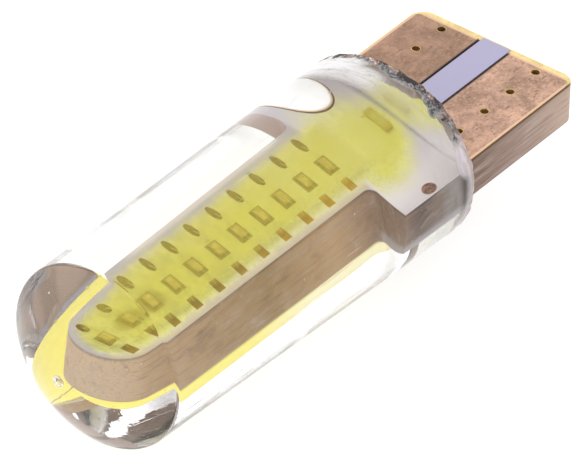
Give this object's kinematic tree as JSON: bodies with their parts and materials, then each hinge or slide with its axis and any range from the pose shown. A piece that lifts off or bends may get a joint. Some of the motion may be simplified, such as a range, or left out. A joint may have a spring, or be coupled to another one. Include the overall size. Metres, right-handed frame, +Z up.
{
  "type": "wedge led bulb",
  "caption": "Small capless wedge-base LED bulb: a phosphor-coated circuit board cast in a clear domed silicone body, with bare copper contacts on its flat base.",
  "frame": {"origin": "middle of the board where it leaves the silicone, at the rim plane that meets the socket's mouth", "axes": "+X along the bulb from the base to the dome, +Y across the board, +Z up from the board's top face"},
  "size_m": [0.0327, 0.0104, 0.0103],
  "materials": {
    "silicone": "clear cast silicone rubber, glossy, faint smudges",
    "glass_fibre": "glass-fibre board, brown routed edges, cream at the top edge",
    "white_mask": "white solder mask with a lilac cast",
    "bare_copper": "bare tarnished copper, scratched",
    "hole_plating": "plated copper, gold-toned rim",
    "land_plating": "plated land seen through phosphor",
    "led_die": "sapphire chip seen through phosphor",
    "gold_wire": "gold bond wire",
    "phosphor": "yellow phosphor in silicone, translucent",
    "resistor_ceramic": "chip resistor seen through phosphor",
    "tin": "tinned terminal"
  },
  "bodies": {
    "root": {"board_core": "glass_fibre", "bottom_bond_wires": "gold_wire", "bottom_die_pads": "land_plating", "bottom_led_dies": "led_die", "bottom_left_contact": "bare_copper", "bottom_mask": "white_mask", "bottom_oval_lands": "land_plating", "bottom_phosphor": "phosphor", "bottom_right_contact": "bare_copper", "bottom_square_lands": "land_plating", "contact_vias": "hole_plating", "feed_hole_platings": "hole_plating", "resistor_bodies": "resistor_ceramic", "resistor_lands": "land_plating", "resistor_terminals": "tin", "silicone_envelope": "silicone", "top_bond_wires": "gold_wire", "top_die_pads": "land_plating", "top_led_dies": "led_die", "top_left_contact": "bare_copper", "top_mask": "white_mask", "top_oval_lands": "land_plating", "top_phosphor": "phosphor", "top_right_contact": "bare_copper", "top_square_lands": "land_plating"}
  },
  "joints": []
}
